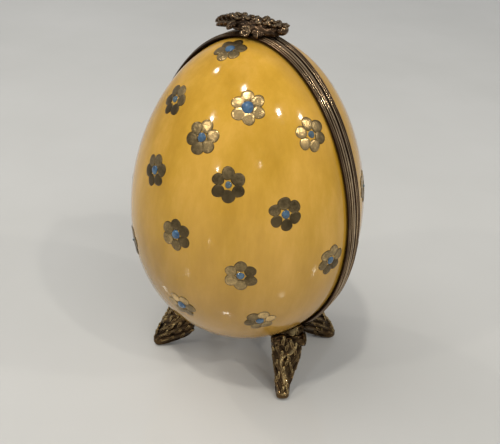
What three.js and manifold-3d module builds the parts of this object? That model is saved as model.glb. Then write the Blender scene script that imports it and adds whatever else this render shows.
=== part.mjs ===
// A jewelled egg trinket box: a porcelain egg split upright into two hollow halves, each half
// bound by a reeded metal collar, standing on four cast feet, hinged below and clasped above.
// Millimetres, +Z up. The origin is on the table under the egg's axis. The seam is the XZ plane,
// and the front half lies on the -Y side.
import * as THREE from 'three';
import { mergeVertices } from 'three/addons/utils/BufferGeometryUtils.js';
import Module from 'manifold-3d';

const wasm = await Module();
wasm.setup();

// Egg
const eggWidth = 52;
const eggHeight = 70;
const eggTaper = 0.121; // how much slimmer the top is than the bottom
const eggFullness = 0.018; // how much fuller both ends are than an ellipse
const poleHeight = 9.6; // from the table to the lowest point of the porcelain
const wall = 2.2;

// Collars
const collarProud = 1; // how far the reeds stand off the porcelain
const bandThickness = 0.75;
const frontBand = 2.7; // from the seam plane to the band's edge
const backBand = 2.2;
const collarWeb = 0.8; // the flat metal face round the mouth of each half
const seamGap = 0.3;
const reedDepth = 0.3;
const frontLip = 0.8; // the plain edge of each band, beside its reeds
const backLip = 0.3;
const frontReeds = [1, 0.62]; // how wide each reed is beside the others, from the seam outwards
const backReeds = [1, 0.9, 0.9];
const partGap = 0.3; // between pieces that rest on each other

// Hinge, under the egg
const knuckleRadius = 1.25;
const hingeBore = 0.85;
const pinClearance = 0.1;
const hingeLength = 10;
const middleKnuckle = 3.8;
const knuckleGap = 0.2;
const pinEnd = 0.35; // how far the pin stands out of each outer knuckle

// Feet, set by hand, so that no two stand quite alike. Each toe's bearing from the X axis, how far
// it stands inside the egg's widest part, and the turn from the Y axis to the way that it faces.
const frontLeftInset = 5.4;
const frontRightInset = 5.1;
const backLeftInset = 2.7;
const backRightInset = 2.3;
const frontReach = 6.4; // how far the middle of a foot's top lies behind its toe
const backReach = 8.4; // the back pair are splayed
const toes = [
  { name: 'foot_front_left', bearing: -145.7, inset: frontLeftInset, turn: 54, reach: frontReach },
  { name: 'foot_front_right', bearing: -27.9, inset: frontRightInset, turn: 38, reach: frontReach },
  { name: 'foot_back_left', bearing: 138, inset: backLeftInset, turn: 52, reach: backReach },
  { name: 'foot_back_right', bearing: 44.7, inset: backRightInset, turn: 58, reach: backReach },
];
const footLean = 1.5; // how far a foot's top leans to the seam
const footWidth = 7.2; // across the leaf at its widest
const toeWidth = 3.5;
const toeFlat = 1.5; // across the small flat that touches the table
const scrollRadius = 1.7;
const scrollLength = 8;

// Clasp
const claspLength = 17.4;
const claspWidth = 6.4;
const claspRise = 3.9; // above the top of the porcelain
const blossomRadius = 1.6;
const knobRadius = 1.55;

// Fineness of the facets
const eggSides = 44;
const outerRows = 18;
const innerRows = 10;
const collarSteps = 48;
const barrelSides = 16;
const footSides = 16;
const footRows = 12;
const scrollSides = 12;

const eggTop = poleHeight + eggHeight;
const hingeZ = poleHeight - collarProud - knuckleGap - knuckleRadius;
const allRound = 2 * Math.PI;

function bulge(s) {
  return Math.sqrt(Math.max(0, 1 - s * s)) * (1 - eggTaper * s + eggFullness * s * s);
}

const girthSamples = 400;
let girth = 0;
for (let i = 0; i <= girthSamples; i++) {
  girth = Math.max(girth, bulge((2 * i) / girthSamples - 1));
}

// The egg's outline at turn t, from 0 at the lower pole to PI at the upper one, as the radius and
// height of a point that lies `off` outside the porcelain.
function outline(t, off = 0) {
  const s = -Math.cos(t);
  const half = eggWidth / 2 / girth;
  const r = half * bulge(s);
  const z = poleHeight + (eggHeight / 2) * (1 + s);
  const swell = 1 - eggTaper * s + eggFullness * s * s;
  const slopeR = half * (Math.cos(t) * swell + Math.sin(t) ** 2 * (2 * eggFullness * s - eggTaper));
  const slopeZ = (eggHeight / 2) * Math.sin(t);
  const length = Math.hypot(slopeR, slopeZ);
  return { r: Math.max(0, r + (off * slopeZ) / length), z: z - (off * slopeR) / length };
}

// The height of the egg's underside at a distance from its axis.
function underside(radius) {
  let low = 0;
  let high = Math.PI / 2;
  for (let i = 0; i < 40; i++) {
    const middle = (low + high) / 2;
    if (outline(middle).r < radius) low = middle;
    else high = middle;
  }
  return outline(low).z;
}

function toSolid(geometry) {
  const bare = geometry.index ? geometry.clone() : mergeVertices(geometry);
  bare.deleteAttribute('normal');
  bare.deleteAttribute('uv');
  const merged = mergeVertices(bare, 1e-5);
  return new wasm.Manifold(new wasm.Mesh({
    numProp: 3,
    vertProperties: new Float32Array(merged.attributes.position.array),
    triVerts: new Uint32Array(merged.index.array),
  }));
}

function toGeometry(solid) {
  const mesh = solid.getMesh();
  const geometry = new THREE.BufferGeometry();
  geometry.setAttribute('position', new THREE.BufferAttribute(mesh.vertProperties, 3));
  geometry.setIndex(new THREE.BufferAttribute(mesh.triVerts, 1));
  geometry.computeVertexNormals();
  return geometry;
}

function joinAll(solids) {
  return solids.reduce((whole, next) => whole.add(next));
}

// Moves every point of a geometry by a function that gives its new place.
function bend(geometry, place) {
  const position = geometry.attributes.position;
  const point = new THREE.Vector3();
  for (let i = 0; i < position.count; i++) {
    point.fromBufferAttribute(position, i);
    place(point);
    position.setXYZ(i, point.x, point.y, point.z);
  }
  return geometry;
}

function box(sizeX, sizeY, sizeZ, x, y, z) {
  return new THREE.BoxGeometry(sizeX, sizeY, sizeZ).translate(x, y, z);
}

// A cylinder along X.
function rod(radius, length, x, y, z, sides = barrelSides) {
  return new THREE.CylinderGeometry(radius, radius, length, sides).rotateZ(Math.PI / 2).translate(x, y, z);
}

function eggBody(off, rows) {
  const points = [];
  for (let i = 0; i <= rows; i++) {
    const { r, z } = outline((Math.PI * i) / rows, off);
    points.push(new THREE.Vector2(i === 0 || i === rows ? 0 : r, z));
  }
  return new THREE.LatheGeometry(points, eggSides).rotateX(Math.PI / 2);
}

// Porcelain: the hollow egg, cut back from the seam to where it stops inside the collar.
const shellEdge = seamGap / 2 + collarWeb + partGap;

function shell(side) {
  const room = eggHeight + eggWidth;
  const half = box(room, room, 2 * room, 0, side * (room / 2 + shellEdge), poleHeight + eggHeight / 2);
  return toSolid(eggBody(0, outerRows)).subtract(toSolid(eggBody(-wall, innerRows))).intersect(toSolid(half));
}

// A ring round the seam. The section is a closed list of [distance off the porcelain, y], given
// anticlockwise, and each point of a plain turned ring is moved out to the egg's outline.
function seamRing(section) {
  const spread = eggWidth;
  const points = [...section, section[0]].map(([off, y]) => new THREE.Vector2(spread + off, y));
  return bend(new THREE.LatheGeometry(points, collarSteps), (point) => {
    const turn = Math.atan2(point.x, point.z);
    const off = Math.hypot(point.x, point.z) - spread;
    const place = outline(Math.PI - Math.abs(turn), off);
    point.set(Math.sign(turn) * place.r, point.y, place.z);
  });
}

// The outer side of a collar, from the seam to the band's edge: reeds with grooves between them,
// then the plain lip that lies on the porcelain.
function reeds(band, lip, shares) {
  const start = seamGap / 2;
  const reeded = band - lip - start;
  const total = shares.reduce((sum, share) => sum + share, 0);
  const groove = collarProud - reedDepth;
  const rounding = 0.2; // how much of a reed's width each of its sides takes
  const points = [[groove, start]];
  let from = start;
  for (const share of shares) {
    const width = (reeded * share) / total;
    points.push([collarProud, from + width * rounding]);
    points.push([collarProud, from + width * (1 - rounding)]);
    from += width;
    points.push([groove, from]);
  }
  const lipEdge = (collarProud - bandThickness + groove) / 2;
  points.push([lipEdge, band]);
  return points;
}

function collarSection(side, band, lip, shares) {
  const under = collarProud - bandThickness;
  const face = seamGap / 2;
  const section = [
    ...reeds(band, lip, shares),
    [under, band],
    [under, face + collarWeb],
    [-wall, face + collarWeb],
    [-wall, face],
  ];
  return side > 0 ? section : section.map(([off, y]) => [off, -y]).reverse();
}

// A hinge knuckle: a barrel under the collar, and the web that carries it.
function knuckle(side, from, to) {
  const length = to - from;
  const middle = (from + to) / 2;
  const webTop = poleHeight - collarProud + bandThickness;
  const webY = side * (seamGap / 2 + collarWeb / 2);
  const web = box(length, collarWeb, webTop - hingeZ, middle, webY, (webTop + hingeZ) / 2);
  return toSolid(rod(knuckleRadius, length, middle, 0, hingeZ)).add(toSolid(web));
}

const middleEnd = middleKnuckle / 2;
const outerEnd = hingeLength / 2;
const bore = toSolid(rod(hingeBore, 2 * hingeLength, 0, 0, hingeZ));

function frontCollar() {
  const ring = toSolid(seamRing(collarSection(-1, frontBand, frontLip, frontReeds)));
  return ring.add(knuckle(-1, -middleEnd, middleEnd)).subtract(bore);
}

function backCollar() {
  const ring = toSolid(seamRing(collarSection(1, backBand, backLip, backReeds)));
  const left = knuckle(1, -outerEnd, -middleEnd - knuckleGap);
  const right = knuckle(1, middleEnd + knuckleGap, outerEnd);
  return ring.add(left).add(right).subtract(bore);
}

function hingePin() {
  return toSolid(rod(hingeBore - pinClearance, hingeLength + 2 * pinEnd, 0, 0, hingeZ));
}

// What stands over a foot or the clasp: the egg and both collars, standing off by the usual gap.
const clearEgg = eggBody(partGap, 2 * outerRows);
const clearRim = seamRing([
  [collarProud + partGap, -frontBand - partGap],
  [collarProud + partGap, backBand + partGap],
  [-wall, backBand + partGap],
  [-wall, -frontBand - partGap],
]);

// Feet. Each is made facing +X with its toe at the origin, then turned and set down. Its form is
// given in shares of its height, which is what the egg leaves over the middle of its top, of its
// reach and of its width.
const footForm = [
  { up: 0, back: -0.16, front: 0.1, half: 0.16 },
  { up: 0.05, back: -0.5, front: 0.2, half: 0.23 },
  { up: 0.11, back: -0.86, front: 0.2, half: 0.24 },
  { up: 0.18, back: -1.22, front: 0.1, half: 0.23 },
  { up: 0.3, back: -1.4, front: -0.02, half: 0.3 },
  { up: 0.42, back: -1.46, front: -0.16, half: 0.38 },
  { up: 0.6, back: -1.5, front: -0.36, half: 0.48 },
  { up: 0.75, back: -1.52, front: -0.52, half: 0.5 },
  { up: 1, back: -1.56, front: -0.84, half: 0.48 },
  { up: 1.3, back: -1.6, front: -1.2, half: 0.44 },
];

function formAt(up) {
  let row = 1;
  while (row < footForm.length - 1 && footForm[row].up < up) row++;
  const [below, above] = [footForm[row - 1], footForm[row]];
  const mix = (up - below.up) / (above.up - below.up);
  const between = (key) => below[key] + (above[key] - below[key]) * mix;
  return { back: between('back'), front: between('front'), half: between('half') };
}

function foot(reach, height, lean) {
  const tallest = footForm[footForm.length - 1].up;
  const toeShare = 0.13; // below this the foot is a plain round toe
  const lobes = 4.5; // leaf tips up each side
  const lobeDepth = 0.2;
  const ribDepth = 0.05;
  const square = 0.72; // how square a level section is: 1 is round
  const body = new THREE.CylinderGeometry(1, 1, 1, footSides, footRows).rotateX(Math.PI / 2);
  bend(body, (point) => {
    const up = tallest * (point.z + 0.5) ** 1.3;
    const { back, front, half } = formAt(up);
    const turn = Math.atan2(point.y, point.x);
    const round = Math.hypot(point.x, point.y);
    const along = Math.sign(point.x) * Math.abs(Math.cos(turn)) ** square * round;
    const across = Math.sign(point.y) * Math.abs(Math.sin(turn)) ** square * round;
    const carved = up > toeShare ? 1 : 0;
    const ridge = Math.round((turn / allRound) * footSides) % 2 === 0 ? ribDepth : -ribDepth;
    const rib = carved * ridge * Math.max(0, along);
    const lobe = 1 + carved * lobeDepth * (((up * lobes) % 1) - 0.5);
    const slim = 0.86 + 0.14 * along; // the back is a little narrower than the face
    const wide = up < toeShare ? toeWidth / 2 : footWidth * half;
    const halfWidth = up === 0 ? toeFlat / 2 : wide;
    point.set(
      reach * ((front + back) / 2 + ((front - back) / 2 + rib) * along),
      halfWidth * lobe * slim * across + lean * up,
      up * height,
    );
  });
  const scrollUp = 0.85;
  const scrollBack = 0.82;
  const scroll = rod(scrollRadius, scrollLength, 0, 0, 0, scrollSides).rotateZ(Math.PI / 2);
  scroll.translate(-scrollBack * reach, lean * scrollUp, scrollUp * height);
  return toSolid(body).add(toSolid(scroll));
}

function placedFoot(toe) {
  const bearing = THREE.MathUtils.degToRad(toe.bearing);
  const out = eggWidth / 2 - toe.inset;
  const [x, y] = [out * Math.cos(bearing), out * Math.sin(bearing)];
  const turn = THREE.MathUtils.degToRad(toe.turn);
  const facing = new THREE.Vector2(Math.sign(x) * Math.sin(turn), Math.sign(y) * Math.cos(turn));
  const lean = -Math.sign(x * y) * footLean;
  const place = new THREE.Matrix4().makeRotationZ(facing.angle()).setPosition(x, y, 0);
  const top = new THREE.Vector3(-toe.reach, lean, 0).applyMatrix4(place);
  const back = place.clone().invert();
  const solid = foot(toe.reach, underside(Math.hypot(top.x, top.y)), lean)
    .subtract(toSolid(clearEgg.clone().applyMatrix4(back)))
    .subtract(toSolid(clearRim.clone().applyMatrix4(back)));
  put(toe.name, solid, brightGilt).applyMatrix4(place);
}

// Clasp: a cast spray over the seam. Places are shares of its length, width and rise, from the top
// of the porcelain.
function leaf([x, y, z], length, width, turn, droop) {
  const blade = bend(new THREE.SphereGeometry(1, 7, 5), (point) => {
    const taper = 1 - 0.3 * point.x ** 2;
    point.set((length * (point.x + 1)) / 2, (width * point.y * taper) / 2, point.z * width * 0.24);
  });
  blade.rotateY(THREE.MathUtils.degToRad(droop)).rotateZ(THREE.MathUtils.degToRad(turn));
  return toSolid(blade.translate(x * claspLength, y * claspWidth, eggTop + z * claspRise));
}

function blossom([x, y, z], radius, petals, tilt) {
  const lobed = bend(new THREE.SphereGeometry(1, 2 * petals, 5).rotateX(Math.PI / 2), (point) => {
    const lobe = 1 + 0.14 * Math.cos(petals * Math.atan2(point.y, point.x));
    point.set(radius * point.x * lobe, radius * point.y * lobe, radius * 0.7 * point.z);
  });
  lobed.rotateX(THREE.MathUtils.degToRad(tilt));
  return toSolid(lobed.translate(x * claspLength, y * claspWidth, eggTop + z * claspRise));
}

function clasp() {
  const core = bend(new THREE.SphereGeometry(1, 14, 7).rotateX(Math.PI / 2), (point) => {
    point.set(
      claspLength * (0.33 * point.x - 0.02),
      claspWidth * 0.4 * point.y,
      eggTop + claspRise * (0.4 + 0.44 * point.z),
    );
  });
  const spray = joinAll([
    toSolid(core),
    leaf([-0.24, 0.1, 0.7], 0.41 * claspLength, 0.42 * claspWidth, 174, 12),
    leaf([-0.23, -0.16, 0.4], 0.29 * claspLength, 0.34 * claspWidth, 182, 4),
    leaf([-0.22, -0.2, 0.6], 0.4 * claspWidth, 0.38 * claspWidth, -125, 24),
    leaf([0.08, -0.2, 0.5], 0.36 * claspWidth, 0.4 * claspWidth, -70, 30),
    leaf([-0.18, 0.24, 0.52], 0.44 * claspWidth, 0.4 * claspWidth, 122, 28),
    leaf([0.05, 0.26, 0.48], 0.42 * claspWidth, 0.42 * claspWidth, 84, 34),
    blossom([-0.24, 0.02, 0.68], 1.1 * blossomRadius, 5, 6),
    blossom([-0.08, 0.05, 0.7], 1.1 * blossomRadius, 6, -4),
    blossom([0.1, -0.02, 0.72], 1.2 * blossomRadius, 5, 8),
    blossom([0.23, 0.02, 0.68], 1.05 * blossomRadius, 5, 4),
    blossom([-0.04, -0.42, 0.34], 0.72 * blossomRadius, 5, 50),
    blossom([0.325, 0, 0.6], knobRadius, 6, 12),
  ]);
  return spray.subtract(toSolid(clearRim)).subtract(toSolid(clearEgg));
}

const porcelain = new THREE.MeshStandardMaterial({ color: 0xd9a63c, roughness: 0.12, metalness: 0 });
const agedGilt = new THREE.MeshStandardMaterial({ color: 0x6b543c, roughness: 0.42, metalness: 0.9 });
const brightGilt = new THREE.MeshStandardMaterial({ color: 0x8f7440, roughness: 0.35, metalness: 0.9 });

const egg = new THREE.Group();

function put(name, solid, material) {
  const mesh = new THREE.Mesh(toGeometry(solid), material);
  mesh.name = name;
  egg.add(mesh);
  return mesh;
}

put('shell_front', shell(-1), porcelain);
put('shell_back', shell(1), porcelain);
put('collar_front', frontCollar(), agedGilt);
put('collar_back', backCollar(), agedGilt);
put('hinge_pin', hingePin(), brightGilt);
put('clasp_spray', clasp(), brightGilt);

toes.forEach(placedFoot);

export default egg;
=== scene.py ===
from math import acos, atan2, copysign, cos, exp, hypot, pi, radians, sin, sqrt
from random import seed, uniform

import bmesh
import bpy
import numpy as np
from mathutils import Matrix, Vector


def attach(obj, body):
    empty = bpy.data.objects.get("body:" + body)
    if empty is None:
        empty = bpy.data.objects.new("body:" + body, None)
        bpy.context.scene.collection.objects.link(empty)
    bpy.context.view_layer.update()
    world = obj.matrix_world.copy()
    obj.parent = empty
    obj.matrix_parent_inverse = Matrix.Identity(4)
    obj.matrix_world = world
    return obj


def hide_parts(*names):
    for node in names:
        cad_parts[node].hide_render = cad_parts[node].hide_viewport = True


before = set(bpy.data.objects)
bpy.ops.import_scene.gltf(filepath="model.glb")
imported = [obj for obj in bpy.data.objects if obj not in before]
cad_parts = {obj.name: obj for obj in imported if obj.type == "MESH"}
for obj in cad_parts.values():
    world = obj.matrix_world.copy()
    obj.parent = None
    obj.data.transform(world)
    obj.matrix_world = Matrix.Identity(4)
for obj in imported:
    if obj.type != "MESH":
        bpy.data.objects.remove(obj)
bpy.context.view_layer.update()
scene = bpy.context.scene
seed(17)
mm = 0.001  # every shape below is worked out in millimetres
fullTurn = 2 * pi


# Egg outline, the same curve as the solids follow
egg = {
    "width": 52.0,
    "height": 70.0,
    "taper": 0.121,  # how much slimmer the top is
    "fullness": 0.018,
    "pole": 9.6,  # table to the lowest point of the porcelain
    "wall": 2.2,
    "columns": 176,
    "rows": 120,
}


def swellAt(s):
    return 1 - egg["taper"] * s + egg["fullness"] * s * s


def bulge(s):
    return np.sqrt(np.maximum(0, 1 - s * s)) * swellAt(s)


girth = float(bulge(np.linspace(-1, 1, 401)).max())


def slopes(t):
    s = -np.cos(t)
    half = egg["width"] / 2 / girth
    leanIn = np.sin(t) ** 2 * (2 * egg["fullness"] * s - egg["taper"])
    slopeR = half * (np.cos(t) * swellAt(s) + leanIn)
    slopeZ = egg["height"] / 2 * np.sin(t)
    return slopeR, slopeZ, np.hypot(slopeR, slopeZ)


# Radius and height of the outline at turn t, 0 at the lower pole, standing `off` outside the glaze
def outline(t, off=0.0):
    s = -np.cos(t)
    slopeR, slopeZ, length = slopes(t)
    r = egg["width"] / 2 / girth * bulge(s) + off * slopeZ / length
    z = egg["pole"] + egg["height"] / 2 * (1 + s) - off * slopeR / length
    return np.maximum(0, r), z


tSteps = np.linspace(0, pi, 721)
rSteps, zSteps = outline(tSteps)


# For points given as radius and height: the nearest turn on the outline, and how far off it they lie
def nearestOutline(radius, height):
    t = np.empty(len(radius))
    for start in range(0, len(radius), 4000):
        part = slice(start, start + 4000)
        gaps = (radius[part, None] - rSteps) ** 2 + (height[part, None] - zSteps) ** 2
        t[part] = tSteps[gaps.argmin(axis=1)]
    t = np.clip(t, 1e-4, pi - 1e-4)
    r, z = outline(t)
    slopeR, slopeZ, length = slopes(t)
    off = ((radius - r) * slopeZ - (height - z) * slopeR) / length
    t = t + ((radius - r) * slopeR + (height - z) * slopeZ) / length ** 2
    return np.clip(t, 1e-4, pi - 1e-4), off


# The place and outward direction on the glaze, by compass angle and share of the egg's height
def glazePoint(bearing, up, off=0.0):
    t = acos(1 - 2 * up)
    r, z = outline(t, off)
    slopeR, slopeZ, length = slopes(t)
    outward = slopeZ / length
    normal = Vector((outward * cos(bearing), outward * sin(bearing), -slopeR / length))
    return Vector((r * cos(bearing), r * sin(bearing), z)), normal


print("egg outline ready")


# Mesh helpers
def circle(steps):
    return np.linspace(0, fullTurn, steps, endpoint=False)


# Points this far from an upright axis, at these bearings and heights
def around(radius, bearing, z):
    x = radius * np.cos(bearing)
    return np.stack([x, radius * np.sin(bearing), np.broadcast_to(z, x.shape)], axis=-1)


# Points of a ball, in rings along x: the turn round the ring, then x, y and z
def globe(rows, columns):
    along = np.linspace(0, pi, rows + 2)[1:-1]
    run, turn = np.meshgrid(along, circle(columns), indexing="ij")
    return turn, -np.cos(run), np.sin(run) * np.cos(turn), np.sin(run) * np.sin(turn)


def smoothStep(low, high, value):
    k = np.clip((value - low) / (high - low), 0, 1)
    return k * k * (3 - 2 * k)


def closedGrid(rows, columns):
    faces = []
    for i in range(rows - 1):
        for j in range(columns):
            a = i * columns + j
            b = i * columns + (j + 1) % columns
            faces.append((a, b, b + columns, a + columns))
    return faces


def spinBy(angle, axis):
    return Matrix.Rotation(angle, 3, axis)


# A closed skin from rings of points, its first and last rings filled by a fan
def skin(rings):
    rows, columns = rings.shape[:2]
    points = list(rings.reshape(-1, 3))
    faces = closedGrid(rows, columns)
    first = len(points)
    points.append(rings[0].mean(axis=0))
    points.append(rings[-1].mean(axis=0))
    for j in range(columns):
        after = (j + 1) % columns
        faces.append((first, after, j))
        faces.append((first + 1, (rows - 1) * columns + j, (rows - 1) * columns + after))
    return np.array(points), faces


# A ring of closed sections, such as a collar, that meets itself
def hoop(sections):
    rows, columns = sections.shape[:2]
    faces = [tuple(v % (rows * columns) for v in face) for face in closedGrid(rows + 1, columns)]
    return sections.reshape(-1, 3), faces


# A bmesh as plain lists of points and faces
def listsOf(shape):
    shape.verts.index_update()
    return [v.co.copy() for v in shape.verts], [[v.index for v in f.verts] for f in shape.faces]


# Gathers several closed shapes, with a relief value on each point, into one piece
class Pile:
    def __init__(self):
        self.points, self.faces, self.relief = [], [], []
        self.count = 0

    def add(self, shape, relief):
        points, faces = shape
        self.points.append(np.asarray(points, dtype=float))
        self.faces.extend(tuple(v + self.count for v in face) for face in faces)
        self.relief.append(np.broadcast_to(relief, len(points)))
        self.count += len(points)

    def place(self, name, look, body, slotName, *nodes):
        points, relief = np.concatenate(self.points), np.concatenate(self.relief)
        fit(makePiece(name, points, self.faces, [finish[look]], relief), body, slotName, *nodes)


def makePiece(name, points, faces, materials, relief=None, pick=None):
    mesh = bpy.data.meshes.new(name)
    mesh.from_pydata([tuple(p) for p in np.asarray(points) * mm], [], faces)
    mesh.validate()
    shape = bmesh.new()
    shape.from_mesh(mesh)
    bmesh.ops.recalc_face_normals(shape, faces=shape.faces)
    shape.to_mesh(mesh)
    shape.free()
    mesh.shade_smooth()
    for material in materials:
        mesh.materials.append(material)
    if relief is not None:
        layer = mesh.attributes.new("relief", "FLOAT", "POINT")
        layer.data.foreach_set("value", np.asarray(relief, dtype=np.float32))
    if pick is not None:
        mesh.polygons.foreach_set("material_index", np.asarray(pick, dtype=np.int32))
    piece = bpy.data.objects.new(name, mesh)
    scene.collection.objects.link(piece)
    return piece


def fit(piece, body, slotName, *nodes):
    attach(piece, body)
    if nodes:
        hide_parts(*nodes)


# Material helpers. Sockets go by name or number, and each takes a number, a colour or another
# node's output
def feed(tree, node, sockets):
    for key, value in sockets.items():
        socket = node.inputs[key]
        if isinstance(value, bpy.types.NodeSocket):
            tree.links.new(value, socket)
        elif isinstance(value, tuple) and socket.type == "RGBA":
            socket.default_value = (*value, 1)
        else:
            socket.default_value = value


nodeRow = (230, -400)  # nodes stand in one row under the shader, in the order they are made


def addNode(tree, kind, sockets, **settings):
    node = tree.nodes.new(kind)
    step, height = nodeRow
    node.location = (step * len(tree.nodes), height)
    for key, value in settings.items():
        setattr(node, key, value)
    feed(tree, node, sockets)
    return node


def objectCoords(tree, stretch=(1, 1, 1)):
    coords = addNode(tree, "ShaderNodeTexCoord", {}).outputs["Object"]
    return addNode(tree, "ShaderNodeMapping", {"Vector": coords, "Scale": stretch}).outputs["Vector"]


def newMaterial(name):
    material = bpy.data.materials.new(name)
    material.use_nodes = True
    tree = material.node_tree
    return material, tree, tree.nodes["Principled BSDF"], objectCoords(tree)


def noise(tree, vector, scale, detail, roughness=0.5):
    sockets = {"Vector": vector, "Scale": scale, "Detail": detail, "Roughness": roughness}
    return addNode(tree, "ShaderNodeTexNoise", sockets).outputs["Fac"]


# Each stop is a position with a colour, or with one grey value
def ramp(tree, factor, *stops):
    node = addNode(tree, "ShaderNodeValToRGB", {"Fac": factor})
    bar = node.color_ramp
    while len(bar.elements) < len(stops):
        bar.elements.new(0.5)
    for element, (position, color) in zip(bar.elements, stops):
        element.position = position
        element.color = (*color, 1) if isinstance(color, tuple) else (color, color, color, 1)
    return node.outputs["Color"]


def blendColor(tree, factor, a, b, mode="MIX"):
    sockets = {0: factor, 6: a, 7: b}
    return addNode(tree, "ShaderNodeMix", sockets, data_type="RGBA", blend_type=mode).outputs[2]


def mathNode(tree, operation, *values, clamp=False):
    sockets = dict(enumerate(values))
    node = addNode(tree, "ShaderNodeMath", sockets, operation=operation, use_clamp=clamp)
    return node.outputs["Value"]


def mapRange(tree, value, low, high, lowest=0.0):
    sockets = {"Value": value, "From Min": low, "From Max": high, "To Min": lowest}
    return addNode(tree, "ShaderNodeMapRange", sockets).outputs["Result"]


# The relief value that a piece has on its points
def reliefValue(tree):
    return addNode(tree, "ShaderNodeAttribute", {}, attribute_name="relief").outputs["Fac"]


def bump(tree, height, strength, distance):
    sockets = {"Height": height, "Strength": strength, "Distance": distance}
    return addNode(tree, "ShaderNodeBump", sockets).outputs["Normal"]


# Glaze: brush marks and patches of three ochres, tan towards the bottom, with painted shade that
# darkens the lower part and grime with painted shade along the collar by the clasp
glaze = {
    "ochres": ((0.48, 0.255, 0.012), (0.62, 0.345, 0.032), (0.78, 0.44, 0.08)),
    "tan": (0.5, 0.28, 0.095),
    # colour of the grime and painted shade along the collar and under the clasp
    "stain": (0.22, 0.13, 0.035),
    "brushStretch": (1, 1, 0.28),  # brush marks run up and down
    # each noise: scale, detail, roughness
    "marks": (140, 6, 0.66),
    "patches": (48, 2),
    "cloud": (38, 3),
    "speck": (900, 2),
    "ripples": (170, 2, 0.4),
    "markStops": (0.36, 0.5, 0.64),
    "patchStops": (0.38, 0.52, 0.66),
    "tanHeights": (0.046, 0.01),  # metres over the table, where the tan begins and is full
    # painted shade towards the bottom: heights where it begins and is full, then the shade at the top
    # and at the bottom
    "lowShadeHeights": (0.07, 0.03),
    "lowShadeValues": (1.04, 0.8),
    "collarShadeReach": (0.0062, 0.0026),  # metres from the seam, where the grime and painted shade end and are full
    "collarShadeHeights": (0.066, 0.079),
    "collarShadeBelow": 0.22,  # how much of the grime and painted shade there is away from the clasp
    "roughness": ((0.35, 0.0595), (0.7, 0.1445)),  # smooth to dulled, as the speck grows
    "bump": (0.1, 0.0006),  # strength and depth
    "sockets": {
        "Coat Weight": 0.12,
        "Coat Roughness": 0.03,
        "Subsurface Weight": 0.06,
        "Subsurface Radius": (0.002, 0.0012, 0.0005),
    },
}


def glazeMaterial():
    material, tree, shader, plain = newMaterial("ochre_glaze")
    brushed = objectCoords(tree, glaze["brushStretch"])
    marks = noise(tree, brushed, *glaze["marks"])
    patches = noise(tree, brushed, *glaze["patches"])
    cloud = noise(tree, plain, *glaze["cloud"])
    speck = noise(tree, plain, *glaze["speck"])
    fine = ramp(tree, marks, *zip(glaze["markStops"], glaze["ochres"]))
    broad = ramp(tree, patches, *zip(glaze["patchStops"], glaze["ochres"]))
    mottled = blendColor(tree, 0.5, fine, broad)
    place = addNode(tree, "ShaderNodeSeparateXYZ", {"Vector": plain})
    low = mapRange(tree, place.outputs["Z"], *glaze["tanHeights"])
    tanned = mathNode(tree, "MULTIPLY", low, cloud, clamp=True)
    toned = blendColor(tree, tanned, mottled, glaze["tan"])
    # grime and painted shade: the glaze is browned along the collar, most of all under the clasp,
    # which shades it
    fromSeam = mathNode(tree, "ABSOLUTE", place.outputs["Y"])
    nearRim = mapRange(tree, fromSeam, *glaze["collarShadeReach"])
    nearTop = mapRange(tree, place.outputs["Z"], *glaze["collarShadeHeights"], glaze["collarShadeBelow"])
    collarShadeMask = mathNode(tree, "MULTIPLY", nearRim, nearTop)
    uneven = mathNode(tree, "MULTIPLY", collarShadeMask, cloud, clamp=True)
    stained = blendColor(tree, uneven, toned, glaze["stain"])
    # painted shade: the glaze is lightened a little at the top and darkened towards the bottom
    thick = mapRange(tree, place.outputs["Z"], *glaze["lowShadeHeights"])
    litTop, shadedBottom = glaze["lowShadeValues"]
    shaded = blendColor(tree, 1.0, stained, ramp(tree, thick, (0.0, litTop), (1.0, shadedBottom)), "MULTIPLY")
    rough = ramp(tree, speck, *glaze["roughness"])
    waves = bump(tree, noise(tree, plain, *glaze["ripples"]), *glaze["bump"])
    feed(tree, shader, {"Base Color": shaded, "Roughness": rough, "Normal": waves})
    feed(tree, shader, glaze["sockets"])
    return material


lining = {
    "body": (0.8, 0.77, 0.7),
    "shade": (0.7, 0.65, 0.55),
    "cloud": (60, 4, 0.6),
    "speck": (700, 2),
    "bump": (0.12, 0.0005),
    "roughness": ((0.3, 0.14), (0.8, 0.3)),
}


def liningMaterial():
    material, tree, shader, plain = newMaterial("white_lining")
    cloud = noise(tree, plain, *lining["cloud"])
    speck = noise(tree, plain, *lining["speck"])
    color = ramp(tree, cloud, (0.3, lining["shade"]), (0.6, lining["body"]))
    rough = ramp(tree, speck, *lining["roughness"])
    waves = bump(tree, cloud, *lining["bump"])
    feed(tree, shader, {"Base Color": color, "Roughness": rough, "Normal": waves})
    return material


# Gilt metals: tones in recesses, on flats and on rubbed edges; the relief values where the first and
# last tone are reached; roughness where rubbed and where dull; scale of the dust, how much of it
# there is, and how deep its bump is
gilding = {
    "collar": {
        "name": "aged_gilt_collar",
        "tones": ((0.038, 0.019, 0.009), (0.205, 0.131, 0.074), (0.88, 0.65, 0.38)),
        "relief": (0.1, 0.92),
        "roughness": (0.16, 0.38),
        "dust": (700, 0.25, 0.000008),
    },
    "clasp": {
        "name": "browned_gilt_clasp",
        "tones": ((0.032, 0.018, 0.01), (0.155, 0.096, 0.056), (0.8, 0.57, 0.31)),
        "relief": (0.12, 0.9),
        "roughness": (0.1, 0.34),
        "dust": (900, 0.35, 0.00008),
    },
    "feet": {
        "name": "cast_gilt_feet",
        "tones": ((0.032, 0.018, 0.009), (0.165, 0.1, 0.043), (1.0, 0.74, 0.34)),
        "relief": (0.16, 1.0),
        "roughness": (0.07, 0.3),
        "dust": (1000, 0.35, 0.00004),
    },
    "foil": {
        "name": "gold_foil",
        "tones": ((0.15, 0.108, 0.052), (0.36, 0.26, 0.122), (0.9, 0.62, 0.27)),
        "relief": (0.15, 0.85),
        "roughness": (0.22, 0.42),
        "dust": (1900, 0.75, 0.00016),
    },
}
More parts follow.
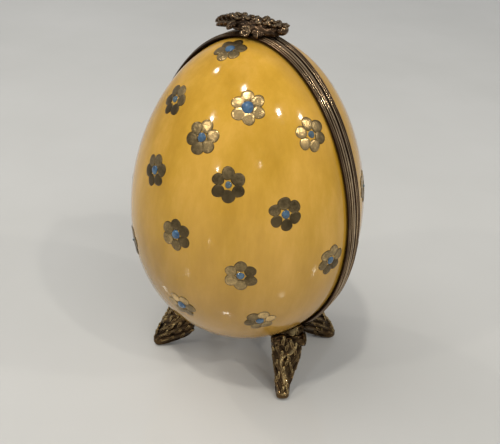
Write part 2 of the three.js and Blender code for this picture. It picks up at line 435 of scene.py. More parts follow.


# Metal whose recesses are dark and whose raised parts are rubbed bright; "relief" is on the mesh, and
# on the collars and the foil it also carries painted light
def gildedMaterial(look):
    material, tree, shader, plain = newMaterial(look["name"])
    scale, amount, depth = look["dust"]
    height = reliefValue(tree)
    dust = noise(tree, plain, scale, 5, 0.6)
    stain = noise(tree, plain, scale * 0.16, 3, 0.55)
    worn = mathNode(tree, "MULTIPLY_ADD", dust, amount, -amount / 2)
    raised = mathNode(tree, "ADD", height, worn, clamp=True)
    low, high = look["relief"]
    recess, flat, edge = look["tones"]
    color = ramp(tree, raised, (low, recess), ((low + high) / 2, flat), (high, edge))
    stained = ramp(tree, stain, (0.35, 0.62), (0.62, 1.08))
    tinted = blendColor(tree, 1.0, color, stained, "MULTIPLY")
    polished, dull = look["roughness"]
    rough = ramp(tree, raised, (0.2, dull), (0.85, polished))
    grains = bump(tree, dust, 0.35, depth)
    feed(tree, shader, {"Base Color": tinted, "Roughness": rough, "Normal": grains, "Metallic": 0.95})
    return material


enamel = {
    "body": (0.018, 0.056, 0.128),
    "pale": (0.078, 0.175, 0.29),
    "dull": (0.105, 0.135, 0.11),
    "cloud": (1300, 3),
    "bump": (0.15, 0.0001),
    "roughness": ((0.3, 0.07), (0.8, 0.16)),
    "coat": 0.5,
}


def enamelMaterial():
    material, tree, shader, plain = newMaterial("blue_enamel")
    cloud = noise(tree, plain, *enamel["cloud"])
    color = ramp(tree, cloud, (0.3, enamel["body"]), (0.75, enamel["pale"]))
    # the relief value on a drop tells how blue it is
    kept = ramp(tree, reliefValue(tree), (0.0, 0.25), (0.8, 1.0))
    mixed = blendColor(tree, kept, enamel["dull"], color)
    rough = ramp(tree, cloud, *enamel["roughness"])
    waves = bump(tree, cloud, *enamel["bump"])
    feed(tree, shader, {"Base Color": mixed, "Roughness": rough, "Normal": waves})
    feed(tree, shader, {"Coat Weight": enamel["coat"]})
    return material


finish = {"glaze": glazeMaterial(), "lining": liningMaterial(), "enamel": enamelMaterial()}
for part, look in gilding.items():
    finish[part] = gildedMaterial(look)
print("finishes mixed")


# Collar sizes, needed by everything that stands over the seam
collar = {
    "proud": 1.0,  # how far the reeds stand off the glaze
    "thickness": 0.75,
    "web": 0.8,
    "seamGap": 0.3,
    "meet": 0.02,  # inside the groove of the seam each half comes this near to it
    "reedDepth": 0.3,
    # width from the seam, how much of it is lip, and each reed's share of width and brightness
    "front": (2.7, 0.8, ((1.0, 1.0), (0.62, 1.0))),
    "back": (2.2, 0.3, ((1.0, 0.95), (0.9, 0.65), (0.9, 0.5))),
    "paintedLight": 0.055,  # painted light: the collar beside the clasp, near the top, is made brighter
    "paintedLightHeights": (62, 76),
    "gap": 0.3,  # between pieces that rest on each other
    "steps": 300,
    "reedPoints": 13,
}


# Porcelain halves
def eggSkin(off, rows, columns):
    t = np.linspace(0, pi, rows + 1)[1:-1]
    r, z = outline(t, off)
    points, faces = skin(around(r[:, None], circle(columns), z[:, None]))
    points[-2][2] = outline(0.0001, off)[1]
    points[-1][2] = outline(pi - 0.0001, off)[1]
    return points, faces


def makeShell(name, side, body, node):
    edge = collar["seamGap"] / 2 + collar["web"] + collar["gap"]
    outer, outerFaces = eggSkin(0, egg["rows"], egg["columns"])
    inner, innerFaces = eggSkin(-egg["wall"], egg["rows"] // 2, egg["columns"] // 2)
    innerFaces = [tuple(reversed([v + len(outer) for v in face])) for face in innerFaces]
    shape = bmesh.new()
    corners = [shape.verts.new(p) for p in np.concatenate([outer, inner])]
    for number, faces in enumerate((outerFaces, innerFaces)):
        for face in faces:
            shape.faces.new([corners[v] for v in face]).material_index = number
    everything = shape.verts[:] + shape.edges[:] + shape.faces[:]
    cut = {"plane_co": (0, side * edge, 0), "plane_no": (0, side, 0)}
    bmesh.ops.bisect_plane(shape, geom=everything, clear_inner=True, **cut)
    rim = [e for e in shape.edges if e.is_boundary]
    for face in bmesh.ops.bridge_loops(shape, edges=rim)["faces"]:
        face.material_index = 1
    points, faces = listsOf(shape)
    pick = [f.material_index for f in shape.faces]
    shape.free()
    piece = makePiece(name, points, faces, [finish["glaze"], finish["lining"]], pick=pick)
    fit(piece, body, "porcelain", node)


makeShell("porcelain_front", -1, "front_half", "shell_front")
makeShell("porcelain_back", 1, "back_half", "shell_back")
print("porcelain halves made")


# Collars. The lip beside the glaze: share of its width, height off the glaze and brightness
lipProfile = [
    (0.08, 0.66, 0.04),
    (0.18, 0.79, 0.9),
    (0.28, 0.81, 1.0),
    (0.36, 0.73, 0.35),
    (0.46, 0.61, 0.12),
    (0.62, 0.6875, 0.5),
    (0.8, 0.575, 0.44),
    (0.9, 0.495, 0.1),
    (1.0, 0.395, 0.05),
]


# Cross-section of a collar from the seam outwards: height off the glaze, distance from the seam's
# middle, and brightness
def reedSection(band, lip, shares):
    start = collar["seamGap"] / 2
    reeded = band - lip - start
    total = sum(share for share, dull in shares)
    groove = collar["proud"] - collar["reedDepth"]
    points = []
    at = start
    for share, dull in shares:
        width = reeded * share / total
        for k in np.linspace(0, 1, collar["reedPoints"]):
            crown = sin(pi * k) ** 0.75 if 0 < k < 1 else 0.0
            scored = 0.14 * exp(-((k - 0.5) / 0.09) ** 2) if width > 0.8 else 0.0
            off = groove + collar["reedDepth"] * (crown - scored)
            points.append((off, at + width * k, dull * (crown ** 2.7 - 2.6 * scored)))
        at += width
    for share, off, shine in lipProfile:
        points.append((off, at + lip * share, shine))
    under, inner = collar["proud"] - collar["thickness"], -egg["wall"]
    web, meet = start + collar["web"], collar["meet"]
    points += [
        (under, band, 0.0),
        (under, web, 0.1),
        (inner + 0.1, web, 0.35),
        (inner, web - 0.1, 0.55),
        (inner, meet + 0.1, 0.6),
        (inner + 0.1, meet, 0.5),
        (groove - 0.35, meet, 0.1),
        (groove - 0.3, start, 0.02),
    ]
    return points


def collarRing(side, sizes):
    section = reedSection(*sizes)
    steps = collar["steps"]
    turns = np.linspace(-pi, pi, steps, endpoint=False) + fullTurn / steps / 2
    rings = np.empty((len(turns), len(section), 3))
    relief = np.empty((len(turns), len(section)))
    for j, (off, y, shine) in enumerate(section):
        reed = j // collar["reedPoints"]
        wander = 0.01 * np.sin(turns * 23 + 2 * reed) + 0.006 * np.sin(turns * 57 + 5 * reed)
        worn = off + (wander if off > 0.5 else 0)
        r, z = outline(pi - np.abs(turns), worn)
        rings[:, j, 0] = np.sign(turns) * r
        rings[:, j, 1] = side * y
        rings[:, j, 2] = z
        # painted light brightens the collar near the top, beside the clasp
        paintedLight = collar["paintedLight"] * smoothStep(*collar["paintedLightHeights"], z)
        relief[:, j] = shine + (paintedLight + 0.07 * np.sin(turns * 17 + 3 * reed) if shine > 0.3 else 0)
    return hoop(rings), relief.reshape(-1)


hinge = {
    "radius": 1.25,
    "bore": 0.85,
    "clearance": 0.1,
    "length": 10.0,
    "middle": 3.8,
    "knuckleGap": 0.2,
    "pinEnd": 0.35,
    "sides": 48,
}
hingeZ = egg["pole"] - collar["proud"] - hinge["knuckleGap"] - hinge["radius"]


# A turned ring or rod along X, from a profile of (x, radius)
def turnedAlongX(profile, closed):
    x, radius = np.array(profile).T
    rings = around(radius[:, None], circle(hinge["sides"]), x[:, None])[..., [2, 0, 1]]
    rings[..., 2] += hingeZ
    return hoop(rings) if closed else skin(rings)


def addKnuckle(pile, side, start, end):
    outer, bore, soft = hinge["radius"], hinge["bore"], 0.16
    trim = soft * 0.4
    profile = [(start, bore), (start, outer - soft), (start + trim, outer - trim)]
    profile += [(start + soft, outer), (end - soft, outer)]
    profile += [(end - trim, outer - trim), (end, outer - soft), (end, bore)]
    wear = np.repeat([0.1, 0.5, 0.8, 0.7, 0.7, 0.8, 0.5, 0.1], hinge["sides"])
    pile.add(turnedAlongX(profile, True), wear)
    # the web that carries the barrel, its corners softened
    inset = collar["seamGap"] / 2
    top = egg["pole"] - collar["proud"] + collar["thickness"]
    web = bmesh.new()
    bmesh.ops.create_cube(web, size=1)
    under = hingeZ + hinge["bore"] + hinge["clearance"]
    bmesh.ops.scale(web, vec=(end - start, collar["web"], top - under), verts=web.verts)
    middle = ((start + end) / 2, side * (inset + collar["web"] / 2), (top + under) / 2)
    bmesh.ops.translate(web, vec=middle, verts=web.verts)
    bmesh.ops.bevel(web, geom=web.edges[:], offset=0.08, segments=2, affect="EDGES")
    pile.add(listsOf(web), 0.35)
    web.free()


def makeCollar(name, side, body, node):
    pile = Pile()
    front = side < 0
    pile.add(*collarRing(side, collar["front" if front else "back"]))
    half = hinge["middle"] / 2
    if front:
        addKnuckle(pile, side, -half, half)
    else:
        addKnuckle(pile, side, -hinge["length"] / 2, -half - hinge["knuckleGap"])
        addKnuckle(pile, side, half + hinge["knuckleGap"], hinge["length"] / 2)
    pile.place(name, "collar", body, "collar_metal", node)


makeCollar("reeded_collar_front", -1, "front_half", "collar_front")
makeCollar("reeded_collar_back", 1, "back_half", "collar_back")


def makePin():
    radius = hinge["bore"] - hinge["clearance"]
    end = hinge["length"] / 2 + hinge["pinEnd"]
    dome = [(-end, 0.35), (-end + 0.05, 0.6), (-end + 0.16, 0.9)]
    profile = [(x, radius * share) for x, share in dome]
    profile += [(-end + 0.3, radius), (0, radius), (end - 0.3, radius)]
    profile += [(-x, radius * share) for x, share in reversed(dome)]
    pile = Pile()
    pile.add(turnedAlongX(profile, False), 0.7)
    pile.place("hinge_wire", "collar", "back_half", "collar_metal", "hinge_pin")


makePin()
print("collars and hinge made")


# Pushes out what would reach into the porcelain or the collars
def keepClear(points):
    points = np.array(points, dtype=float)
    radius = np.hypot(points[:, 0], points[:, 1])
    t, off = nearestOutline(radius, points[:, 2])
    inside = off < collar["gap"]
    r, z = outline(t, collar["gap"])
    share = r / np.maximum(radius, 1e-6)
    points[inside, 0] *= share[inside]
    points[inside, 1] *= share[inside]
    points[inside, 2] = z[inside]
    y = points[:, 1]
    over = (y > -collar["front"][0] - collar["gap"]) & (y < collar["back"][0] + collar["gap"])
    t, off = nearestOutline(np.abs(points[:, 0]), points[:, 2])
    stand = collar["proud"] + collar["gap"]
    low = over & (off < stand)
    r, z = outline(t, stand)
    points[low, 0] = (np.sign(points[:, 0]) * r)[low]
    points[low, 2] = z[low]
    return points


lobe = {
    "rows": 22,
    "columns": 24,
    "flare": 0.22,  # how much wider the outer end is
    "veinDepth": 0.16,
    "cup": 0.5,
}


# A rounded lobe: a petal, or the bead in a blossom's middle
def petal(size, turn, tip, veins=3, middle=(0, 0, 0)):
    _, x, y, z = globe(lobe["rows"], lobe["columns"])
    top = smoothStep(0.0, 0.5, z)
    vein = np.cos(veins * pi * y) * top
    cup = -lobe["cup"] * np.exp(-((x + 0.1) / 0.45) ** 2 - (y / 0.5) ** 2) * top
    wide = size[1] * y * (1 + lobe["flare"] * x)
    high = size[2] * (z + lobe["veinDepth"] * vein + cup)
    points = np.stack([size[0] * x, wide, high], axis=-1)
    flat, faces = skin(points)
    spin = np.array(spinBy(turn, "Z") @ spinBy(-tip, "Y"))
    shown = 0.42 + 0.22 * vein + 0.5 * cup + 0.12 * top + 0.15 * np.maximum(0, x)
    return flat @ spin.T + np.array(middle), faces, np.append(shown.reshape(-1), [0.3, 0.6])


# Feet
foot = {
    "width": 7.2,
    "toeWidth": 3.5,
    "scrollRadius": 1.7,
    "scrollLength": 8.0,
    "scrollUp": 0.85,
    "scrollBack": 0.82,
    "lean": 1.5,
    "toeShare": 0.13,  # below this share of its height the foot is a round toe
    "soleShare": 0.03,  # the carving of the flanks goes down to here
    "lobes": 4.5,
    "lobeDepth": 0.2,
    "ribDepth": 0.081,
    "strands": 5.2,
    "sway": 0.3,  # how far the strands wind to either side
    "sweep": 1.05,  # how steeply the leaf edges run up the flanks
    "veins": 4,
    "cuffUp": 0.135,
    "cuffHeight": 0.014,
    "square": 0.72,
    "hook": 0.34,  # how strongly a leaflet bends outwards along its length
    "bead": 0.3,  # radius of the bead each leaflet curls up into
    "beadSink": 0.08,
    "columns": 128,
    "rows": 170,
}
# Bearing of the toe, how far it stands inside the egg's width, which way it faces, and how far
# the middle of the top lies behind the toe
feet = {
    "foot_front_left": (-145.7, 5.4, 54, 6.4),
    "foot_front_right": (-27.9, 5.1, 38, 6.4),
    "foot_back_left": (138.0, 2.7, 52, 8.4),
    "foot_back_right": (44.7, 2.3, 58, 8.4),
}
# Shares of height, reach and width: up, back, front, half width
footForm = np.array([
    (0, -0.16, 0.1, 0.16),
    (0.05, -0.5, 0.2, 0.23),
    (0.11, -0.86, 0.2, 0.24),
    (0.18, -1.22, 0.1, 0.23),
    (0.3, -1.4, -0.02, 0.3),
    (0.42, -1.46, -0.16, 0.38),
    (0.6, -1.5, -0.36, 0.48),
    (0.75, -1.52, -0.52, 0.5),
    (1, -1.56, -0.84, 0.48),
    (1.3, -1.6, -1.2, 0.44),
])


# The form table drawn as smooth curves
denseUp = np.linspace(-0.1, 1.4, 601)
footCurves = []
for column in (1, 2, 3):
    straight = np.interp(denseUp, footForm[:, 0], footForm[:, column])
    padded = np.pad(straight, 10, mode="edge")
    footCurves.append(np.convolve(padded, np.ones(21) / 21, mode="valid"))


# Back, front and half width at a share of the height
def formAt(up):
    return [np.interp(up, denseUp, curve) for curve in footCurves]


# Chasing of an acanthus leaf: winding strands down the middle, hooked ridges that sweep up and out
# to the leaf's edges
def acanthus(ups, signed, phase):
    away = np.abs(signed)
    side = np.where(signed > 0, 0.35, 0.0)
    sweep = ups * foot["lobes"] - foot["sweep"] * away ** 0.9 + side + 0.08 * np.sin(9 * ups + phase)
    saw = sweep % 1
    ridge = np.exp(-((saw - 0.55) / 0.17) ** 2)
    fine = 0.5 + 0.5 * np.cos(fullTurn * (sweep * foot["veins"] + 0.3 * np.sin(7 * ups + 2 * away)))
    hollow = np.exp(-((saw - 0.02) / 0.1) ** 2) + np.exp(-((saw - 0.98) / 0.1) ** 2)
    wound = signed + foot["sway"] * np.sin(8.5 * ups + phase) + 0.12 * np.sin(19 * ups - phase)
    strand = np.maximum(0, np.cos(wound * foot["strands"])) ** 2.5
    middle = np.exp(-(wound / 0.9) ** 4)
    flank = np.exp(-(away / 1.9) ** 6)
    leafwork = (0.6 * ridge + 0.8 * fine - 0.8 * hollow) * (1 - 0.75 * middle) * flank
    return leafwork + 0.95 * strand * middle - 0.3, saw


def footBody(height, lean, reach, phase):
    up = footForm[-1, 0] * np.linspace(0, 1, foot["rows"] + 1) ** 1.15
    ups, turns = np.meshgrid(up, circle(foot["columns"]), indexing="ij")
    back, front, half = formAt(ups)
    ahead, aside = np.cos(turns), np.sin(turns)
    along = np.sign(ahead) * np.abs(ahead) ** foot["square"]
    across = np.sign(aside) * np.abs(aside) ** foot["square"]
    face = np.maximum(0, along)
    bare = foot["soleShare"] + (foot["toeShare"] - foot["soleShare"]) * smoothStep(0, 0.7, along)
    carved = smoothStep(bare - 0.01, bare + 0.05, ups)
    signed = np.arctan2(aside, ahead)
    leafwork, saw = acanthus(ups, signed, phase)
    tip = np.where(saw < 0.8, (saw / 0.8) ** 1.3, ((1 - saw) / 0.2) ** 0.8)
    lobe = 1 + carved * foot["lobeDepth"] * (tip - 0.5)
    grit = 0.1 * np.sin(31 * ups + 5 * signed + phase) * np.sin(13 * signed - 17 * ups)
    relief = carved * (leafwork + grit)
    depth = foot["ribDepth"] * relief * (0.5 + 0.5 * face)
    slim = 0.86 + 0.14 * along
    plain = smoothStep(foot["toeShare"] - 0.05, foot["toeShare"] + 0.02, ups)
    wide = foot["toeWidth"] / 2 * (1 - plain) + foot["width"] * half * plain
    ball = np.sqrt(np.clip(1 - (1 - np.clip(ups / 0.07, 0, 1)) ** 2, 0, 1))
    wide = wide * (0.43 + 0.57 * ball)
    thick = (front - back) / 2 * (0.6 + 0.4 * ball)
    points = np.empty(ups.shape + (3,))
    points[..., 0] = reach * ((front + back) / 2 + (thick + depth) * along)
    points[..., 1] = wide * (lobe + 0.9 * depth) * slim * across + lean * ups
    points[..., 2] = ups * height
    # a row of small beads over the round toe
    cuff = np.exp(-((ups - foot["cuffUp"]) / foot["cuffHeight"]) ** 2)
    cuff = cuff * face * (0.6 + 0.4 * np.cos(9 * signed))
    points[..., 0] += reach * 0.03 * cuff * along
    points[..., 1] += 0.18 * cuff * across
    pitted = (1 - carved) * (0.06 + 0.14 * np.sin(70 * ups + 9 * signed) * np.sin(11 * signed + phase))
    shown = 0.36 + 0.46 * relief + 0.08 * face + pitted + 0.3 * cuff
    return skin(points), np.append(shown.reshape(-1), [0.2, 0.2])


# Curled leaflets that stand up from the face and sides: share of height, share of the half width,
# length, width and how far each tip turns outwards
leaflets = [
    (0.22, 0.35, 1.2, 0.6, 0.3),
    (0.26, 0.9, 1.1, 0.62, 0.7),
    (0.33, 0.1, 1.4, 0.58, 0.2),
    (0.37, 0.72, 1.5, 0.66, 0.6),
    (0.45, 0.94, 1.3, 0.72, 0.9),
    (0.47, 0.36, 1.6, 0.62, 0.4),
    (0.56, 0.78, 1.5, 0.72, 0.7),
    (0.6, 0.14, 1.6, 0.66, 0.2),
    (0.66, 0.95, 1.5, 0.8, 0.9),
    (0.69, 0.5, 1.7, 0.72, 0.5),
    (0.78, 0.8, 1.5, 0.8, 0.7),
    (0.82, 0.22, 1.8, 0.8, 0.3),
    (0.93, 0.55, 1.6, 0.8, 0.5),
]


def footLeaflets(height, lean, reach):
    parts = []
    roll = foot["scrollRadius"]
    hook, sink = foot["hook"], foot["beadSink"]
    for up, aside, length, broad, outward in leaflets:
        for side in (1, -1):
            at = up + 0.03 * side + uniform(-0.02, 0.02)
            back, front, half = formAt(at)
            ahead = formAt(at + 0.1)[1]
            rise = atan2(0.1 * height, reach * (ahead - front))
            round_ = sqrt(max(0.0, 1 - aside ** 2.6))
            x = reach * ((front + back) / 2 + (front - back) / 2 * round_) + 0.15
            aboveRoll = (at - foot["scrollUp"]) * height
            if abs(aboveRoll) < roll:
                onRoll = sqrt(roll ** 2 - aboveRoll ** 2) - foot["scrollBack"] * reach
                x = max(x, onRoll + 0.15) if aside < 0.6 else x
            y = side * foot["width"] * half * aside * 0.94 + lean * at
            flat, faces, relief = petal((length * 0.66, broad * 0.58, 0.46), 0, 0.25, 3)
            flat[:, 1] += side * hook * (flat[:, 0] + 0.66 * length) ** 2 / length
            turned = spinBy(-side * outward * 0.9, (sin(rise), 0, -cos(rise)))
            stand = spinBy(-rise, "Y") @ spinBy(pi, "X")
            flip = spinBy(side * aside * 0.9, "Z")
            spin = np.array(flip @ turned @ stand)
            place = np.array((x, y, at * height))
            parts.append(((flat @ spin.T + place, faces), relief + 0.08))
            size = foot["bead"] * uniform(0.75, 1.2)
            tip = place + spin @ np.array((length * 0.5, 0, size - sink))
            tip = tip + spin @ np.array((0, side * hook * 1.2 * length, 0))
            bead, faces, relief = petal((size * 1.35, size, size), 0, 0, 1)
            parts.append(((bead @ spin.T + tip, faces), relief + 0.3))
    return parts


# The same leaflets on both flanks, lying back towards the scroll: share of height, how far forward
# (1) or back (-1), length and width
flankLeaflets = [
    (0.27, 0.45, 1.6, 0.6),
    (0.34, -0.05, 1.8, 0.66),
    (0.41, -0.5, 1.8, 0.7),
    (0.43, 0.55, 1.7, 0.66),
    (0.51, 0.1, 1.9, 0.7),
    (0.56, -0.4, 1.9, 0.74),
    (0.6, 0.6, 1.7, 0.66),
    (0.66, 0.15, 1.9, 0.72),
    (0.72, -0.35, 1.9, 0.76),
    (0.17, 0.1, 1.6, 0.6),
    (0.22, -0.45, 1.8, 0.66),
    (0.3, -0.8, 1.7, 0.66),
]


def footFlanks(height, lean, reach):
    parts = []
    for up, forward, length, broad in flankLeaflets:
        for side in (1, -1):
            at = up + 0.02 * side
            back, front, half = formAt(at)
            across = (1 - abs(forward) ** (2 / foot["square"])) ** (foot["square"] / 2)
            x = reach * ((front + back) / 2 + (front - back) / 2 * forward)
            y = side * foot["width"] * half * across * (0.86 + 0.14 * forward) + lean * at
            flat, faces, relief = petal((length * 0.66, broad * 0.6, 0.4), 0, 0.12, 3)
            leaning = radians(uniform(-140, -115))
            spin = spinBy(leaning, "Y") @ spinBy(-side * pi / 2, "X")
            moved = flat @ np.array(spin).T + np.array((x, y, at * height))
            parts.append(((moved, faces), relief - 0.04))
    return parts


# The scroll across the back of the top: a waisted roll with a spiral on each end
def footScroll(height, lean, reach):
    half = foot["scrollLength"] / 2
    bearing = circle(72)
    rings, relief = [], []
    for side in (-1, 1):
        for share in (np.linspace(0.04, 1, 16) if side < 0 else np.linspace(1, 0.04, 16)):
            curl = 0.5 + 0.5 * np.cos(bearing * -side - fullTurn * 1.9 * share)
            rise = 0.34 * curl * (1 - 0.3 * share) + 0.16 * (1 - share)
            out = half - 0.3 + rise if share < 0.97 else half - 0.35
            rings.append(around(foot["scrollRadius"] * share, bearing, side * out))
            relief.append(0.12 + 0.6 * curl)
        if side < 0:
            for k in np.linspace(-0.94, 0.94, 56):
                waist = 0.88 + 0.12 * k * k
                wrap = 0.7 * np.cos(3 * bearing + 9 * k) + 0.5 * np.cos(8 * bearing - 6 * k)
                leafy = 0.085 * wrap * (1 - k ** 4)
                cord = 0.07 * exp(-((abs(k) - 0.8) / 0.05) ** 2)
                radius = foot["scrollRadius"] * (waist + leafy + cord)
                rings.append(around(radius, bearing, k * half))
                relief.append(0.28 + 0.3 * wrap * (1 - k ** 4) + 3 * cord)
    middle = (-foot["scrollBack"] * reach, lean * foot["scrollUp"], foot["scrollUp"] * height)
    shape = skin(np.array(rings)[..., [0, 2, 1]] + middle)
    return shape, np.append(np.array(relief).reshape(-1), [0.6, 0.6])


def undersideAt(radius):
    t = np.linspace(0, pi / 2, 4001)
    r, z = outline(t)
    return float(np.interp(radius, r, z))


def makeFoot(node, bearing, inset, turn, reach, body):
    out = egg["width"] / 2 - inset
    x = out * cos(radians(bearing))
    y = out * sin(radians(bearing))
    ahead = copysign(sin(radians(turn)), x)
    aside = copysign(cos(radians(turn)), y)
    facing = atan2(aside, ahead)
    lean = -copysign(foot["lean"], x * y)
    place = np.array(Matrix.Translation((x, y, 0)) @ Matrix.Rotation(facing, 4, "Z"))
    top = place @ np.array((-reach, lean, 0, 1))
    height = undersideAt(hypot(top[0], top[1]))
    pile = Pile()
    castings = [footBody(height, lean, reach, bearing), footScroll(height, lean, reach)]
    castings += footLeaflets(height, lean, reach) + footFlanks(height, lean, reach)
    for (points, faces), relief in castings:
        moved = points @ place[:3, :3].T + place[:3, 3]
        pile.add((keepClear(moved), faces), relief)
    pile.place(node.replace("foot", "console_foot"), "feet", body, "cast_gilt", node)


for node, stance in feet.items():
    makeFoot(node, *stance, "front_half" if "front" in node else "back_half")
print("four feet made")


# Clasp: a cast spray of leaves and blossoms; places are shares of its length, width and rise
clasp = {
    "length": 17.4,
    "width": 6.4,
    "rise": 3.9,
    "blossom": 1.6,
    "knob": 1.55,
    "coreGrid": (60, 96),
}
eggTop = egg["pole"] + egg["height"]


def setDown(points, place, pitch=0.0, turn=0.0, roll=0.0):
    spin = spinBy(radians(turn), "Z") @ spinBy(radians(pitch), "Y")
    spin = spin @ spinBy(radians(roll), "X")
    x, y, z = place
    at = np.array((x * clasp["length"], y * clasp["width"], eggTop + z * clasp["rise"]))
    return keepClear(points @ np.array(spin).T + at)


leafForm = {
    "rows": 46,
    "columns": 40,
    "toothDepth": 0.3,
    "thickness": 0.24,  # share of the leaf's width
    "curl": 0.1,  # share of its length
    "ribWidth": 0.11,
}


# A leaf with a middle rib, side veins, a toothed edge and a curled tip
def leaf(place, length, width, turn, droop, teeth=5):
    round_, x, y, z = globe(leafForm["rows"], leafForm["columns"])
    edge = np.abs(np.cos(round_))
    k = (x + 1) / 2
    saw = (k * teeth + 0.35 * edge) % 1
    tooth = np.where(saw < 0.75, saw / 0.75, (1 - saw) / 0.25) - 0.5
    topSide = smoothStep(-0.1, 0.4, z)
    rib = np.exp(-(y / leafForm["ribWidth"]) ** 2)
    vein = np.sin(fullTurn * (k * teeth * 1.6 - 1.1 * np.abs(y)))
    shown = 1.0 * rib + 0.5 * vein * (1 - rib) * np.abs(y) ** 0.4
    points = np.empty(x.shape + (3,))
    points[..., 0] = length * k
    points[..., 1] = width / 2 * y * (1 - 0.3 * x ** 2) * (1 + leafForm["toothDepth"] * tooth * edge)
    hollow = -0.35 * (1 - np.abs(y)) * (1 - rib) * topSide
    lift = width * leafForm["thickness"] * (z + 0.34 * shown * topSide + hollow)
    curl = leafForm["curl"] * length * (np.sin(k * pi) * edge - k ** 3)
    points[..., 2] = lift + curl
    flat, faces = skin(points)
    relief = np.append((0.4 + 0.34 * shown * topSide + 0.25 * tooth * edge).reshape(-1), [0.6, 0.8])
    return (setDown(flat, place, droop, turn), faces), relief


# A blossom of cupped petals round a small bead, over a lobed boss
def blossom(pile, place, radius, petals, tilt, spin=0.0):
    boss = (0.82 * radius, 0.82 * radius, 0.55 * radius)
    bead = (0.26 * radius, 0.26 * radius, 0.24 * radius)
    parts = [petal(boss, 0, 0, 1, (0, 0, -0.15 * radius))]
    for k in range(petals):
        turn = spin + fullTurn * k / petals
        reach = 0.6 * radius * uniform(0.92, 1.05)
        middle = (reach * cos(turn), reach * sin(turn), 0.22 * radius)
        size = (0.5 * radius, 0.36 * radius * 5.4 / petals, 0.24 * radius)
        parts.append(petal(size, turn, uniform(0.25, 0.5), 3, middle))
    parts.append(petal(bead, 0, 0, 5, (0, 0, 0.46 * radius)))
    for points, faces, relief in parts:
        pile.add((setDown(points, place, 0, 0, tilt), faces), relief)


def claspCore():
    _, z, x, y = globe(*clasp["coreGrid"])
    pebble = np.sin(13 * x + 5 * y) * np.sin(11 * y + 3 * z) + 0.6 * np.sin(23 * x) * np.sin(19 * y)
    points = np.empty(x.shape + (3,))
    points[..., 0] = clasp["length"] * (0.33 * x - 0.02)
    points[..., 1] = clasp["width"] * 0.4 * y * (1 + 0.05 * pebble)
    points[..., 2] = eggTop + clasp["rise"] * (0.4 + 0.44 * z) + 0.16 * pebble * z
    flat, faces = skin(points)
    return (keepClear(flat), faces), np.append((0.28 + 0.14 * pebble).reshape(-1), [0.2, 0.2])


def makeClasp():
    length, width, size = clasp["length"], clasp["width"], clasp["blossom"]
    pile = Pile()
    pile.add(*claspCore())
    pile.add(*leaf((-0.24, 0.1, 0.7), 0.41 * length, 0.42 * width, 174, 12, 6))
    pile.add(*leaf((-0.23, -0.16, 0.4), 0.29 * length, 0.34 * width, 182, 4))
    pile.add(*leaf((-0.22, -0.2, 0.6), 0.4 * width, 0.38 * width, -125, 24))
    pile.add(*leaf((0.08, -0.2, 0.5), 0.36 * width, 0.4 * width, -70, 30))
    pile.add(*leaf((-0.18, 0.24, 0.52), 0.44 * width, 0.4 * width, 122, 28))
    pile.add(*leaf((0.05, 0.26, 0.48), 0.42 * width, 0.42 * width, 84, 34))
    blossom(pile, (-0.24, 0.02, 0.68), 1.1 * size, 5, 6)
    blossom(pile, (-0.08, 0.05, 0.7), 1.1 * size, 6, -4, 0.3)
    blossom(pile, (0.1, -0.02, 0.72), 1.2 * size, 5, 8, 0.5)
    blossom(pile, (0.23, 0.02, 0.68), 1.05 * size, 5, 4, 0.2)
    blossom(pile, (-0.04, -0.42, 0.34), 0.72 * size, 5, 50)
    knob = clasp["knob"]
    bud, faces, relief = petal((0.84 * knob, 0.84 * knob, 0.66 * knob), 0, 0.1, 4)
    pile.add((setDown(bud, (0.325, 0, 0.58)), faces), relief - 0.1)
    blossom(pile, (0.335, 0, 0.74), 0.82 * knob, 6, 0, 0.4)
    pile.place("leaf_spray_clasp", "clasp", "front_half", "cast_gilt", "clasp_spray")


makeClasp()
print("clasp made")


# Flowers on the glaze: six foil discs round an enamel drop
flower = {
    "ring": 2.22,  # flower's middle to the middle of each disc
    "disc": 1.27,
    "foilHeight": 0.12,
    "drop": 0.95,
    "dropHeight": 0.42,
    "discSides": 28,
    "dropSides": 32,
    "ragged": 0.035,  # how uneven the edges are
}
# Compass angle from the middle of that half, share of the egg's height, turn, painted brightness of
# the foil, which stands in for the lamp light each flower reflects, the side where a painted highlight
# makes it brightest, and the drop's size
frontFlowers = [
    (-16.6, 0.979, 36, 0.5, -90, 1.05),
    (-29.7, 0.843, 20, 0.3, 90, 0.75),
    (3.8, 0.791, 20, 0.58, 50, 0.95),
    (28.5, 0.874, 38, 0.86, 160, 1.25),
    (68.0, 0.803, 36, 0.7, 190, 0.75),
    (-20.7, 0.663, 22, 0.14, 90, 0.95),
    (22.1, 0.689, 36, 0.14, 90, 0.7),
    (49.1, 0.616, 36, 0.14, 90, 0.9),
    (-0.5, 0.517, 36, 0.3, 200, 1.0),
    (30.4, 0.431, 32, 0.38, 200, 0.85),
    (74.2, 0.436, 14, 0.38, 90, 0.9),
    (-0.1, 0.257, 4, 0.55, 120, 1.1),
    (41.3, 0.245, 16, 0.5, 20, 0.95),
    (-39.8, 0.368, 20, 0.3, 90, 0.35),
    (-64, 0.53, 5, 0.15, 90, 0.4),
    (-80, 0.74, 8, 0.3, 90, 0.9),
    (-74, 0.4, 26, 0.25, 90, 1.0),
    (66, 0.06, 2, 0.3, 90, 0.95),
    (-50, 0.22, 11, 0.3, 90, 0.9),
]
